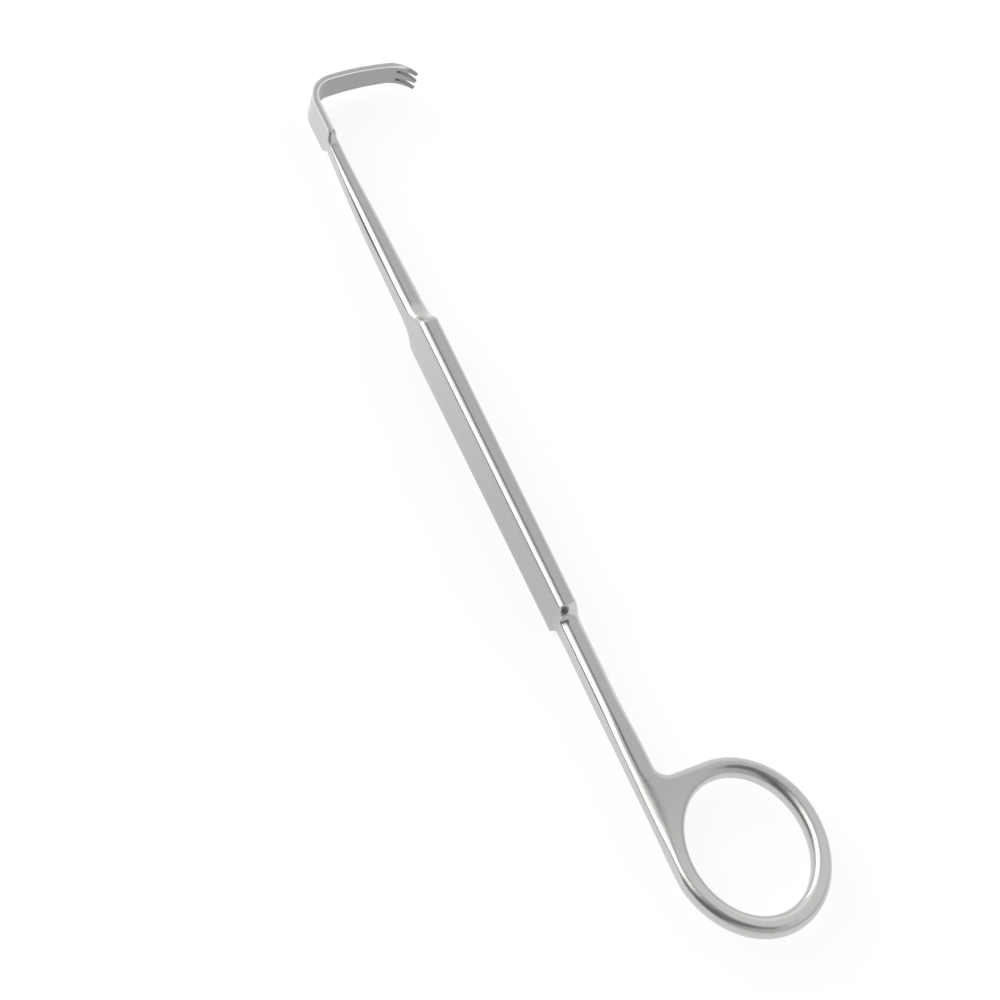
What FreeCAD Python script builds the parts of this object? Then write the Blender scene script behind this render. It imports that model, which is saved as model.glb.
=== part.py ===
import FreeCAD, Part
import math
import os

# Handheld surgical retractor, forged in one piece from stainless steel.
# The instrument lies flat: X runs along the shaft from the hook to the finger ring,
# Y points to the side that the hook and the ring share, Z is up. Sizes are in millimetres.
# While it is being built, x = 0 is the middle of the grip bar, y = 0 is the plane of
# the flat that is ground along its back, and z = 0 is the middle plane of the forging.

# Grip bar in the middle
bar_front_length = 28.8
bar_rear_length = 28.45
bar_half_width = 5.6
bar_rear_half_width = 5.45
bar_back = -0.37
bar_front = 3.78
bar_rear_front = 3.55
bar_corner = 1.3

# Slender round shaft in front of the bar: shoulder, cone, thin stem, and a point on the neck
front_shoulder_length = 8.2
front_cone_length = 28.0
front_stem_length = 5.8
front_point_length = 3.1
front_radius_thick = 2.38
front_radius_thin = 1.62
front_point_radius = 0.6
front_axis = 1.67

# Round shaft behind the bar: shoulder, rod, and the lead that widens into the web
rear_shoulder_length = 3.4
rear_rod_length = 14.15
rear_lead_length = 11.0
rear_radius = 2.35
rear_axis = 1.66
rear_axis_slope = -0.008

# Finger ring and the web that joins it to the shaft
ring_reach = 21.9
ring_centre_y = 12.93
ring_long = 17.05
ring_long_web = 16.4
ring_short = 13.9
ring_turn = 3.0
ring_wall_end = 3.75
ring_wall_web = 3.4
ring_wall_front = 3.33
ring_wall_back = 3.71
hole_turn = 0.5
ring_half_height = 2.0
ring_outer_round = 1.8
ring_inner_round = 1.35
ring_web_front = 4.1
ring_web_fillet = 2.4

# Flat ground along the back of the shafts and the bar
flat_level_length = 10.0
flat_neck_lap = 0.9
flat_rise = 1.15
flat_tail_length = 13.1
flat_tail_drop = 0.65

# Neck strip, bent blade and its three prongs
neck_outer = 1.18
neck_thickness = 1.27
neck_half_width = 3.8
neck_length = 5.8
neck_ramp_length = 1.7
neck_ramp_half_width = 1.45
neck_shelf_length = 0.7
neck_end_half_width = 1.05
neck_lap = 2.4
bend_radius = 5.0
bend_half_width = 3.38
blade_thickness = 1.0
blade_radius = 53.0
blade_reach = 16.95
tip_half_width = 2.85
tip_radius = 7.0
tip_turn = 50.0
tip_thickness = 0.45
prong_length = 3.0
slot_pitch = 1.45
slot_root = 0.45
slot_mouth = 1.2

# Places along the shaft, counted from the middle of the bar
front_shaft_end = -(bar_front_length + front_shoulder_length)
front_taper_start = front_shaft_end - front_cone_length
front_shaft_start = front_taper_start - front_stem_length
front_point = front_shaft_start - front_point_length
neck_end = front_shaft_start + neck_lap
neck_ramp_end = neck_end - neck_shelf_length
neck_ramp_start = neck_ramp_end - neck_ramp_length
bend_x = neck_ramp_start - neck_length
rear_shaft_start = bar_rear_length + rear_shoulder_length
rear_shaft_end = rear_shaft_start + rear_rod_length
ring_start = rear_shaft_end + rear_lead_length
ring_centre_x = ring_start + ring_reach
flat_rise_start = front_shaft_end - flat_level_length
flat_rise_end = neck_ramp_end - flat_neck_lap
flat_tail_x = ring_centre_x + flat_tail_length

bar_size = (bar_half_width, bar_back, bar_front, bar_corner)
bar_rear_size = (bar_rear_half_width, bar_back, bar_rear_front, bar_corner)


def point(x, y, z=0.0):
    return FreeCAD.Vector(x, y, z)


def arc(first, middle, last):
    return Part.Arc(first, middle, last).toShape()


def line(first, last):
    return Part.makeLine(first, last)


def around(centre, radius, degrees):
    angle = math.radians(degrees)
    return point(centre.x + radius * math.cos(angle), centre.y + radius * math.sin(angle))


# A cross-section of the handle: a rectangle with four rounded corners, set at one x.
def section(x, half_width, back, front, corner):
    low_y = back + corner
    high_y = front - corner
    inner_z = half_width - corner
    cut = corner * (1.0 - math.sqrt(0.5))
    edges = [
        line(point(x, back, -inner_z), point(x, back, inner_z)),
        arc(point(x, back, inner_z), point(x, back + cut, half_width - cut), point(x, low_y, half_width)),
        line(point(x, low_y, half_width), point(x, high_y, half_width)),
        arc(point(x, high_y, half_width), point(x, front - cut, half_width - cut), point(x, front, inner_z)),
        line(point(x, front, inner_z), point(x, front, -inner_z)),
        arc(
            point(x, front, -inner_z),
            point(x, front - cut, cut - half_width),
            point(x, high_y, -half_width),
        ),
        line(point(x, high_y, -half_width), point(x, low_y, -half_width)),
        arc(point(x, low_y, -half_width), point(x, back + cut, cut - half_width), point(x, back, -inner_z)),
    ]
    return Part.Wire(edges)


# The size of a round section: a circle that is written as a rectangle with full corners.
def round_size(axis, radius):
    return (radius, axis - radius, axis + radius, radius * 0.97)


def blend(first, second, share):
    return tuple(a + (b - a) * share for a, b in zip(first, second))


def loft(stations, ruled):
    wires = [section(x, *size) for x, size in stations]
    return Part.makeLoft(wires, True, ruled)


# A shoulder: the section swells from the round shaft to the full bar along an S-shaped curve.
def shoulder(shaft_x, bar_x, shaft_size, full_size, steps):
    stations = []
    for along, share in steps:
        x = shaft_x + (bar_x - shaft_x) * along
        stations.append((x, blend(shaft_size, full_size, share)))
    return loft(stations, False)


def front_shaft():
    thin = round_size(front_axis, front_radius_thin)
    thick = round_size(front_axis, front_radius_thick)
    tip = round_size(front_axis, front_point_radius)
    tail = loft([(front_point, tip), (front_shaft_start, thin)], True)
    stem = loft([(front_shaft_start, thin), (front_taper_start, thin)], True)
    cone = loft([(front_taper_start, thin), (front_shaft_end, thick)], True)
    flare = ((0.0, 0.0), (0.3, 0.03), (0.52, 0.12), (0.68, 0.3), (0.78, 0.6), (0.88, 0.9), (1.0, 1.0))
    swell = shoulder(front_shaft_end, -bar_front_length, thick, bar_size, flare)
    return [tail, stem, cone, swell]


def rear_shaft():
    thick = round_size(rear_axis, rear_radius)
    far_axis = rear_axis + rear_axis_slope * (rear_shaft_end - rear_shaft_start)
    far = round_size(far_axis, rear_radius)
    ring_size = (ring_half_height, ring_back(), ring_web_front, rim_rounds()[0])
    step = ((0.0, 0.0), (0.3, 0.05), (0.5, 0.15), (0.65, 0.3), (0.8, 0.56), (0.9, 0.82), (1.0, 1.0))
    swell = shoulder(rear_shaft_start, bar_rear_length, thick, bar_rear_size, step)
    rod = loft([(rear_shaft_start, thick), (rear_shaft_end, far)], True)
    lead = loft([(rear_shaft_end, far), (ring_start, ring_size)], True)
    return [swell, rod, lead]


def grip_bar():
    return loft([(-bar_front_length, bar_size), (bar_rear_length, bar_rear_size)], True)


# Point of an ellipse that is turned about its centre by the ring's slight slant.
def on_ellipse(centre, long, short, degrees):
    angle = math.radians(degrees)
    turn = math.radians(ring_turn)
    along = long * math.cos(angle)
    across = short * math.sin(angle)
    x = centre.x + along * math.cos(turn) - across * math.sin(turn)
    y = centre.y + along * math.sin(turn) + across * math.cos(turn)
    return point(x, y)


# Part of an ellipse as one edge, turned about its centre.
def ellipse_edge(centre, long, short, turn, start, end):
    curve = Part.Ellipse(point(0, 0), long, short)
    edge = curve.toShape(math.radians(start), math.radians(end))
    edge.rotate(point(0, 0), point(0, 0, 1), turn)
    edge.translate(centre)
    return edge


def ring_centre():
    return point(ring_centre_x, ring_centre_y)


# The angle of the ring's lowest point, where the back of the shaft runs into it.
def lowest_angle():
    turn = math.radians(ring_turn)
    angle = math.atan2(-ring_short * math.cos(turn), -ring_long_web * math.sin(turn))
    return math.degrees(angle)


def ring_bottom():
    return on_ellipse(ring_centre(), ring_long_web, ring_short, lowest_angle())


def ring_back():
    return ring_bottom().y


# The angle of the ring's leftmost point, where the straight edge of the web leaves it.
def leftmost_angle():
    turn = math.radians(ring_turn)
    angle = math.atan2(ring_short * math.sin(turn), -ring_long_web * math.cos(turn))
    return math.degrees(angle)


# The outline of shaft end, web and ring, seen from above. The ring is an egg: a long half
# ellipse at its free end and a shorter one at the web. It runs into the back of the shaft,
# and the web's straight edge meets the front of the shaft in a fillet.
def ring_outline():
    hub = ring_centre()
    bottom = ring_bottom()
    web = on_ellipse(hub, ring_long_web, ring_short, leftmost_angle())
    middle = point(web.x - ring_web_fillet, ring_web_front + ring_web_fillet)
    top = point(web.x, middle.y)
    foot = point(middle.x, ring_web_front)
    edges = [
        line(point(ring_start, bottom.y), bottom),
        ellipse_edge(hub, ring_long_web, ring_short, ring_turn, lowest_angle(), -90.0),
        ellipse_edge(hub, ring_long, ring_short, ring_turn, -90.0, 90.0),
        ellipse_edge(hub, ring_long_web, ring_short, ring_turn, 90.0, leftmost_angle()),
        line(web, top),
        arc(top, around(middle, ring_web_fillet, -45.0), foot),
        line(foot, point(ring_start, ring_web_front)),
        line(point(ring_start, ring_web_front), point(ring_start, bottom.y)),
    ]
    return Part.Wire(edges)


def raised(wire, half_height):
    slab = Part.Face(wire).extrude(point(0, 0, 2.0 * half_height))
    slab.translate(point(0, 0, -half_height))
    return slab


# Edges of a slab that lie in its top or bottom face and aren't at the shaft's cut end.
def rim_edges(slab, half_height):
    chosen = []
    for edge in slab.Edges:
        box = edge.BoundBox
        level = box.ZLength < 1e-6 and abs(abs(box.ZMin) - half_height) < 1e-6
        if level and box.XMax > ring_start + 1e-3:
            chosen.append(edge)
    return chosen


# The rims' rounding radii, outer and inner, which can't be larger than the wall allows.
def rim_rounds():
    wall = min(ring_wall_end, ring_wall_web, ring_wall_front, ring_wall_back)
    outer = min(ring_outer_round, 0.95 * ring_half_height, 0.6 * wall)
    inner = min(ring_inner_round, 0.95 * ring_half_height, 0.97 * wall - outer)
    return outer, inner


# The hole leaves a wall of its own thickness on each of the ring's four sides.
def finger_hole():
    long = 0.5 * (ring_long + ring_long_web - ring_wall_end - ring_wall_web)
    short = 0.5 * (2.0 * ring_short - ring_wall_front - ring_wall_back)
    shift_x = ring_long - ring_wall_end - long
    shift_y = ring_short - ring_wall_front - short
    centre = point(ring_centre_x + shift_x, ring_centre_y + shift_y)
    oval = ellipse_edge(centre, long, short, hole_turn, 0.0, 360.0)
    return raised(Part.Wire([oval]), ring_half_height * 1.5)


# The ring is a slab in the shape of the outline with full roundings on the outer rim,
# and an oval hole whose rims are rounded as well.
def finger_ring():
    outer_round, inner_round = rim_rounds()
    slab = raised(ring_outline(), ring_half_height)
    slab = slab.makeFillet(outer_round, rim_edges(slab, ring_half_height))
    slab = slab.cut(finger_hole())
    rims = []
    for edge in rim_edges(slab, ring_half_height):
        if edge.isClosed():
            rims.append(edge)
    return slab.makeFillet(inner_round, rims)


# Everything behind the ground flat is removed from shafts, bar and ring.
def flat_waste():
    far = -9.0
    deep = 2.0 * (bar_half_width + ring_half_height + neck_half_width)
    middle_x = 0.5 * (flat_rise_start + flat_rise_end)
    edges = [
        line(point(front_point - 2.0, far), point(front_point - 2.0, neck_outer)),
        line(point(front_point - 2.0, neck_outer), point(flat_rise_end, neck_outer)),
        line(point(flat_rise_end, neck_outer), point(flat_rise_end, flat_rise)),
        arc(
            point(flat_rise_end, flat_rise),
            point(middle_x, flat_rise * 0.25),
            point(flat_rise_start, 0.0),
        ),
        line(point(flat_rise_start, 0.0), point(rear_shaft_start, 0.0)),
        line(point(rear_shaft_start, 0.0), point(flat_tail_x, -flat_tail_drop)),
        line(point(flat_tail_x, -flat_tail_drop), point(flat_tail_x, far)),
        line(point(flat_tail_x, far), point(front_point - 2.0, far)),
    ]
    waste = Part.Face(Part.Wire(edges)).extrude(point(0, 0, 2.0 * deep))
    waste.translate(point(0, 0, -deep))
    return waste


# Side view of the strip: neck, right-angled bend, gently arched blade and hooked tip.
def strip_profile():
    outer_centre = point(bend_x, neck_outer + bend_radius)
    outer_wall = bend_x - bend_radius
    sweep_centre = point(outer_wall + blade_radius, outer_centre.y)
    lean = math.degrees(math.asin((blade_reach - outer_centre.y) / blade_radius))
    reach = around(sweep_centre, blade_radius, 180.0 - lean)
    tip_centre = around(reach, tip_radius, -lean)
    outer_end = around(tip_centre, tip_radius, 180.0 - lean - tip_turn)

    inner_wall = outer_wall + blade_thickness
    inner_floor = neck_outer + neck_thickness
    inner_radius = bend_radius - 0.5 * (neck_thickness + blade_thickness)
    inner_centre = point(inner_wall + inner_radius, inner_floor + inner_radius)
    inner_sweep = blade_radius - blade_thickness
    inner_sweep_centre = point(inner_wall + inner_sweep, inner_centre.y)
    inner_reach = around(inner_sweep_centre, inner_sweep, 180.0 - lean)
    inner_tip = tip_radius - blade_thickness
    inner_tip_centre = around(inner_reach, inner_tip, -lean)
    inner_end = around(inner_tip_centre, inner_tip, 180.0 - lean - 0.72 * tip_turn)
    point_end = around(outer_end, tip_thickness, -lean - tip_turn)

    edges = [
        line(point(neck_end, neck_outer), point(bend_x, neck_outer)),
        arc(
            point(bend_x, neck_outer),
            around(outer_centre, bend_radius, 225.0),
            point(outer_wall, outer_centre.y),
        ),
        arc(
            point(outer_wall, outer_centre.y),
            around(sweep_centre, blade_radius, 180.0 - 0.5 * lean),
            reach,
        ),
        arc(
            reach,
            around(tip_centre, tip_radius, 180.0 - lean - 0.5 * tip_turn),
            outer_end,
        ),
        line(outer_end, point_end),
        line(point_end, inner_end),
        arc(
            inner_end,
            around(inner_tip_centre, inner_tip, 180.0 - lean - 0.36 * tip_turn),
            inner_reach,
        ),
        arc(
            inner_reach,
            around(inner_sweep_centre, inner_sweep, 180.0 - 0.5 * lean),
            point(inner_wall, inner_centre.y),
        ),
        arc(
            point(inner_wall, inner_centre.y),
            around(inner_centre, inner_radius, 225.0),
            point(inner_centre.x, inner_floor),
        ),
        line(point(inner_centre.x, inner_floor), point(neck_end, inner_floor)),
        line(point(neck_end, inner_floor), point(neck_end, neck_outer)),
    ]
    return Part.Wire(edges), outer_end


# The strip's width, seen along the shaft: it narrows round the bend and towards the prongs.
def blade_taper(reach_y):
    low = neck_outer + neck_thickness
    bend = neck_outer + bend_radius
    corners = [
        point(-100.0, -5.0, -neck_half_width),
        point(-100.0, low, -neck_half_width),
        point(-100.0, bend, -bend_half_width),
        point(-100.0, reach_y, -tip_half_width),
        point(-100.0, reach_y, tip_half_width),
        point(-100.0, bend, bend_half_width),
        point(-100.0, low, neck_half_width),
        point(-100.0, -5.0, neck_half_width),
        point(-100.0, -5.0, -neck_half_width),
    ]
    return Part.Face(Part.makePolygon(corners)).extrude(point(60.0, 0, 0))


# The neck's width, seen from the back: it steps down to the shaft over two ramps.
def neck_ramps():
    corners = [
        point(-100.0, -5.0, -neck_half_width),
        point(neck_ramp_start, -5.0, -neck_half_width),
        point(neck_ramp_end, -5.0, -neck_ramp_half_width),
        point(neck_end, -5.0, -neck_end_half_width),
        point(neck_end, -5.0, neck_end_half_width),
        point(neck_ramp_end, -5.0, neck_ramp_half_width),
        point(neck_ramp_start, -5.0, neck_half_width),
        point(-100.0, -5.0, neck_half_width),
        point(-100.0, -5.0, -neck_half_width),
    ]
    return Part.Face(Part.makePolygon(corners)).extrude(point(0, 60.0, 0))


# One V-shaped slot between two prongs, with a round root, square to the hooked tip.
def slot(tip, height):
    lean = math.degrees(math.asin((blade_reach - neck_outer - bend_radius) / blade_radius))
    heading = math.radians(90.0 - lean - 0.62 * tip_turn)
    along = point(math.cos(heading), math.sin(heading))
    across = point(-along.y, along.x)
    root = point(tip.x - prong_length * along.x, tip.y - prong_length * along.y)
    length = prong_length + 1.5
    mouth = slot_root + (slot_mouth - slot_root) * length / prong_length
    outer = root.add(point(along.x * length, along.y * length))
    up = point(0, 0, 1)
    base = root.add(across * -3.0)
    far = outer.add(across * -3.0)
    round_end = base.add(along * -slot_root)
    edges = [
        arc(base + up * -slot_root, round_end, base + up * slot_root),
        line(base + up * slot_root, far + up * mouth),
        line(far + up * mouth, far + up * -mouth),
        line(far + up * -mouth, base + up * -slot_root),
    ]
    body = Part.Face(Part.Wire(edges)).extrude(across * 6.0)
    body.translate(point(0, 0, height))
    return body


def blade():
    wire, tip = strip_profile()
    strip = Part.Face(wire).extrude(point(0, 0, 2.0 * neck_half_width))
    strip.translate(point(0, 0, -neck_half_width))
    strip = strip.common(blade_taper(tip.y + 2.0))
    pad = Part.makeBox(
        neck_end - flat_rise_end,
        neck_thickness,
        2.0 * neck_half_width,
        point(flat_rise_end, neck_outer + neck_thickness - 2.0 * neck_thickness, -neck_half_width),
    )
    strip = strip.fuse(pad)
    strip = strip.common(neck_ramps())
    strip = strip.cut(slot(tip, slot_pitch))
    strip = strip.cut(slot(tip, -slot_pitch))
    return strip


def retractor():
    forging = grip_bar()
    for piece in front_shaft() + rear_shaft():
        forging = forging.fuse(piece)
    forging = forging.fuse(finger_ring())
    forging = forging.fuse(blade())
    forging = forging.cut(flat_waste())
    return forging.removeSplitter()


# The origin goes under the middle of the whole part, at the level that it rests on.
def settle(shape):
    box = shape.optimalBoundingBox(False, False)
    shape.translate(point(-0.5 * (box.XMin + box.XMax), -0.5 * (box.YMin + box.YMax), -box.ZMin))
    return shape


os.makedirs("parts", exist_ok=True)
whole = settle(retractor())
whole.exportStep("parts/retractor.step")
print("solids", len(whole.Solids), "valid", whole.isValid())
print("volume", round(whole.Volume, 1))
extent = whole.optimalBoundingBox(False, False)
print("size", round(extent.XLength, 2), round(extent.YLength, 2), round(extent.ZLength, 2))
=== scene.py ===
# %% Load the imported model
import bmesh
import bpy
import math
from mathutils import Matrix, Vector
from mathutils.geometry import delaunay_2d_cdt


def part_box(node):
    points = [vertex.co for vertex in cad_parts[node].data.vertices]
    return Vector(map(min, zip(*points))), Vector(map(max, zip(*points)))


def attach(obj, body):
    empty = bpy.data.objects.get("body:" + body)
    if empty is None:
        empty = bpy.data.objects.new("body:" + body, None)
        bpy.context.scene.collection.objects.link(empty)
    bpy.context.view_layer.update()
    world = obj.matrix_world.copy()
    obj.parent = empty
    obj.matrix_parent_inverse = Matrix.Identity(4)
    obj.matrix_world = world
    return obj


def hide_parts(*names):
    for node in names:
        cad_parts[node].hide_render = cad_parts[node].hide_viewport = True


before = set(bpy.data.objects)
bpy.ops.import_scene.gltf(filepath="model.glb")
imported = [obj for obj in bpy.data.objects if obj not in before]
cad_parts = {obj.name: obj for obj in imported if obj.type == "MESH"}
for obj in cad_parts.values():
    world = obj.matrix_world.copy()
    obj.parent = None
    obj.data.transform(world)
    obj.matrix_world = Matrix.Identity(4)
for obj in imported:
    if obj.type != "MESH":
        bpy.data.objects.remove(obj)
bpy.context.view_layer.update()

# %% [markdown]
# ## A hand retractor, forged from one bar of stainless steel
#
# The instrument is one piece: a grip bar in the middle, a slender shaft with a bent blade and
# three prongs at one end, and a shorter shaft with a finger ring at the other. A smith forges
# the bar, swages the shafts round, grinds one long flat along the back, bends the blade,
# and a polisher then gives the whole a satin finish.
#
# Everything is modelled in millimetres, lying on its side. The x axis runs from the hook to
# the ring, y points to the side that both of them share, and z = 0 is the middle plane of the
# forging. Apart from the ramps at the neck, one half is the mirror image of the other, so only
# the upper half is worked out.

# %% Sizes of grip bar and shafts, in millimetres
MM = 0.001

# Each section has a half height, a back, a front, and the height and width of its round corner.
stem_end = (0.6, 1.07, 2.27, 0.58, 0.58)
thin_stem = (1.62, 0.05, 3.29, 1.57, 1.57)
thick_front = (2.38, -0.71, 4.05, 2.31, 2.31)
bar_front_end = (5.6, -0.37, 3.78, 1.35, 2.0)
bar_rear_end = (5.45, -0.37, 3.55, 1.35, 1.9)
thick_rear = (2.35, -0.69, 4.01, 2.28, 2.28)
far_rear = (2.35, -0.8, 3.9, 2.28, 2.28)
web_lead = (2.0, -0.97, 4.1, 1.7, 2.8)

# The shaft starts as a point, is full at stem_full, and thickens from taper_start on.
stem_start = -73.9
stem_full = -70.8
taper_start = -65.0
taper_length = 28.0
bar_length = 57.25

# Where each shoulder leaves the shaft and where it meets the bar, and how far it has risen
# from the one to the other at some places between them.
front_shoulder = (-37.0, -28.8)
rear_shoulder = (31.85, 28.9)
front_flare = (
    (0.0, 0.0), (0.3, 0.03), (0.52, 0.12), (0.68, 0.3), (0.79, 0.6), (0.88, 0.88), (0.94, 0.98), (1.0, 1.0),
)
rear_step = ((0.0, 0.0), (0.34, 0.03), (0.5, 0.11), (0.63, 0.27), (0.77, 0.56), (0.9, 0.84), (1.0, 1.0))
print("bar is", bar_length, "mm long and", 2.0 * bar_front_end[0], "mm thick")

# %% Places along the handle where the section is known


def blend(first, second, share):
    return tuple(a + (b - a) * share for a, b in zip(first, second))


def shoulder_knots(ends, shaft, bar, steps):
    length = ends[1] - ends[0]
    return [(ends[0] + length * along, blend(shaft, bar, share)) for along, share in steps]


handle_knots = [(stem_start, stem_end)]
handle_knots += [(x, thin_stem) for x in (stem_full, -69.0, taper_start)]
for x in (-55.0, -40.0):
    handle_knots.append((x, blend(thin_stem, thick_front, (x - taper_start) / taper_length)))
handle_knots += shoulder_knots(front_shoulder, thick_front, bar_front_end, front_flare)
for x in (-20.0, 20.0):
    handle_knots.append((x, blend(bar_front_end, bar_rear_end, (x - front_shoulder[1]) / bar_length)))
handle_knots += reversed(shoulder_knots(rear_shoulder, thick_rear, bar_rear_end, rear_step))
handle_knots += [(38.0, blend(thick_rear, far_rear, 0.42)), (46.0, far_rear)]
handle_knots += [(57.0, web_lead), (61.0, web_lead)]
print("sections are known at", len(handle_knots), "places")

# %% A smooth track through the known places


def slopes(xs, ys):
    """Slopes at the knots that keep a curve from overshooting them."""
    steps = [(ys[i + 1] - ys[i]) / (xs[i + 1] - xs[i]) for i in range(len(xs) - 1)]
    inner = []
    for left, right in zip(steps, steps[1:]):
        inner.append(2.0 * left * right / (left + right) if left * right > 0.0 else 0.0)
    return [steps[0]] + inner + [steps[-1]]


class Track:
    """Sizes that change smoothly along x and pass through their knots."""

    def __init__(self, knots):
        self.xs = [knot[0] for knot in knots]
        self.columns = list(zip(*[knot[1] for knot in knots]))
        self.slopes = [slopes(self.xs, column) for column in self.columns]

    def at(self, x):
        last = len(self.xs) - 2
        i = max(0, min(last, sum(1 for knot in self.xs[1:-1] if knot <= x)))
        width = self.xs[i + 1] - self.xs[i]
        t = (x - self.xs[i]) / width
        values = []
        for ys, ms in zip(self.columns, self.slopes):
            start = ys[i] * (1 + 2 * t) * (1 - t) ** 2 + width * ms[i] * t * (1 - t) ** 2
            end = ys[i + 1] * t * t * (3 - 2 * t) + width * ms[i + 1] * t * t * (t - 1)
            values.append(start + end)
        return values


handle_track = Track(handle_knots)
print("bar section at x = 0:", [round(v, 3) for v in handle_track.at(0.0)])

# %% Level of the ground flat
flat_rise_start = -47.0
flat_rise_length = 23.0
flat_rise = 1.15
flat_fall_start = 32.2
flat_fall_length = 59.8
flat_fall = 0.65


def ground_flat(x):
    """The y of the flat along the back: it rises on the front shaft and falls towards the ring."""
    if x < flat_rise_start:
        return flat_rise * ((x - flat_rise_start) / flat_rise_length) ** 2
    if x > flat_fall_start:
        return -flat_fall * (x - flat_fall_start) / flat_fall_length
    return 0.0


flat_ends = (stem_start, flat_fall_start + flat_fall_length)
print("level of the flat at both ends:", [round(ground_flat(x), 3) for x in flat_ends])

# %% [markdown]
# ## Rims
#
# Every edge of the forging has the same build: from the middle plane a short upright wall goes
# up, and a round corner leads over to the level top. Where the flat was ground, it cuts that
# round corner and leaves a crisp edge, which the polisher's cloth has softened a little.
#
# A bevel modifier could round such edges, but it can't follow a flat that runs out, so the
# points of each rim are worked out. A rim is a list of (inward, up) pairs. It has the same
# number of points everywhere, so that neighbouring rims can be joined by quads.

# %% Points of one rim
flat_steps = 5
ease_steps = 3
round_steps = 12
edge_ease = 0.14
ease_share = 0.6
least_cut = 1e-4
quarter = 0.5 * math.pi
full_turn = 2.0 * math.pi


def rim(wall, corner, width, cut, even, steps=(flat_steps, ease_steps, round_steps)):
    """Points from the middle plane to the level top. The round corner is a quarter of an ellipse,
    corner high and width wide, and cut is how deep the flat is ground in."""
    flat_n, ease_n, round_n = steps

    def on_round(angle):
        return width * (1.0 - math.cos(angle)), wall + corner * math.sin(angle)

    if cut > least_cut:
        start = math.acos(1.0 - cut / width)
        height = wall + corner * math.sin(start)
        ease = min(edge_ease, ease_share * height)
        after = start + ease / corner
        low, sharp, high = (cut, height - ease), (cut, height), on_round(after)
        points = [(cut, low[1] * i / flat_n) for i in range(flat_n + 1)]
        for i in range(1, ease_n + 1):
            t = i / ease_n
            weights = ((1 - t) ** 2, 2 * t * (1 - t), t * t)
            spots = list(zip(weights, (low, sharp, high)))
            points.append(tuple(sum(w * p[axis] for w, p in spots) for axis in (0, 1)))
        rest = quarter - after
        points += [on_round(after + rest * i / round_n) for i in range(1, round_n + 1)]
        return points
    ease = min(edge_ease, ease_share * wall)
    arc = quarter * corner
    crisp = [(wall - ease) * i / flat_n for i in range(flat_n)]
    crisp += [wall - ease + 2.0 * ease * i / ease_n for i in range(ease_n)]
    crisp += [wall + ease + (arc - ease) * i / round_n for i in range(round_n + 1)]
    points = []
    for i, run in enumerate(crisp):
        run += (i / (len(crisp) - 1) * (wall + arc) - run) * even
        points.append((0.0, run) if run < wall else on_round((run - wall) / corner))
    return points


print("a rim has", len(rim(0.2, 1.8, 1.8, 0.4, 0.0)), "points")

# %% A net that welds points which lie in the same place


class Net:
    """Collects faces in millimetres and welds their corners."""

    def __init__(self):
        self.index = {}
        self.points = []
        self.faces = []

    def corner(self, point):
        key = tuple(round(v, 5) + 0.0 for v in point)
        if key not in self.index:
            self.index[key] = len(self.points)
            self.points.append(key)
        return self.index[key]

    def face(self, corners):
        ids = []
        for corner in corners:
            number = self.corner(corner)
            if number not in ids:
                ids.append(number)
        if len(ids) > 2:
            self.faces.append(ids)

    def both(self, corners):
        """A face and its mirror image in the middle plane."""
        self.face(corners)
        self.face([(x, y, -z) for x, y, z in reversed(corners)])

    def rows(self, rows):
        """Quads between neighbouring rows of points, with their mirror images."""
        for near, far in zip(rows, rows[1:]):
            for i in range(len(near) - 1):
                self.both([near[i], near[i + 1], far[i + 1], far[i]])

    def cap(self, row):
        """One flat face over an open end."""
        self.face(list(row) + [(x, y, -z) for x, y, z in reversed(row[1:-1])])

    def mesh(self, name):
        mesh = bpy.data.meshes.new(name)
        mesh.from_pydata(self.points, [], self.faces)
        work = bmesh.new()
        work.from_mesh(mesh)
        bmesh.ops.recalc_face_normals(work, faces=work.faces)
        open_edges = sum(1 for edge in work.edges if len(edge.link_faces) != 2)
        volume = work.calc_volume(signed=True)
        work.to_mesh(mesh)
        work.free()
        print(name, len(mesh.polygons), "faces,", open_edges, "open edges,", round(volume, 1), "mm3")
        return mesh


# %% [markdown]
# ## Grip bar and shafts
#
# A lathe or an extrusion can't make a body that changes from round to rectangular. So it is
# built as a row of cross-sections. Each is a back rim, a level side and a front rim. The
# sections lie close together on the two shoulders, where the shape changes fast.

# %% Cross-sections of a long body
side_steps = 6
support = 0.06
support_share = 0.25


def side_points(low, high, x, z):
    """The level side between two rims, with a narrow band next to each of them."""
    band = min(support, support_share * (high - low))
    inner = [low + band + (high - low - 2 * band) * i / (side_steps - 2) for i in range(side_steps - 1)]
    return [(x, y, z) for y in inner]


# The two corners may be this wide together, and no_flat stands for a section without a flat.
widest_corners = 4.66
no_flat = -99.0


def front_width(width):
    """The front corner is as wide as the back one, or takes what the back one leaves."""
    return min(width, widest_corners - width)


def section(x, sizes, level, steps=(flat_steps, ease_steps, round_steps)):
    """Upper half of a cross-section, from the back over the top to the front."""
    half, back, front, corner, width = sizes
    fore_width = front_width(width)
    even = 1.0 if level == no_flat else 0.0
    rear = rim(half - corner, corner, width, max(0.0, level - back), even, steps)
    fore = rim(half - corner, corner, fore_width, 0.0, 1.0, steps)
    row = [(x, back + inward, up) for inward, up in rear]
    row += side_points(back + width, front - fore_width, x, half)
    row += [(x, front - inward, up) for inward, up in reversed(fore)]
    return row


def places(start, end, step):
    """Even places from the start up to the end, which is left out."""
    count = max(1, round(abs(end - start) / step))
    return [start + (end - start) * i / count for i in range(count)]


print("a section has", len(section(0.0, bar_front_end, 0.0)), "points")

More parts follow.
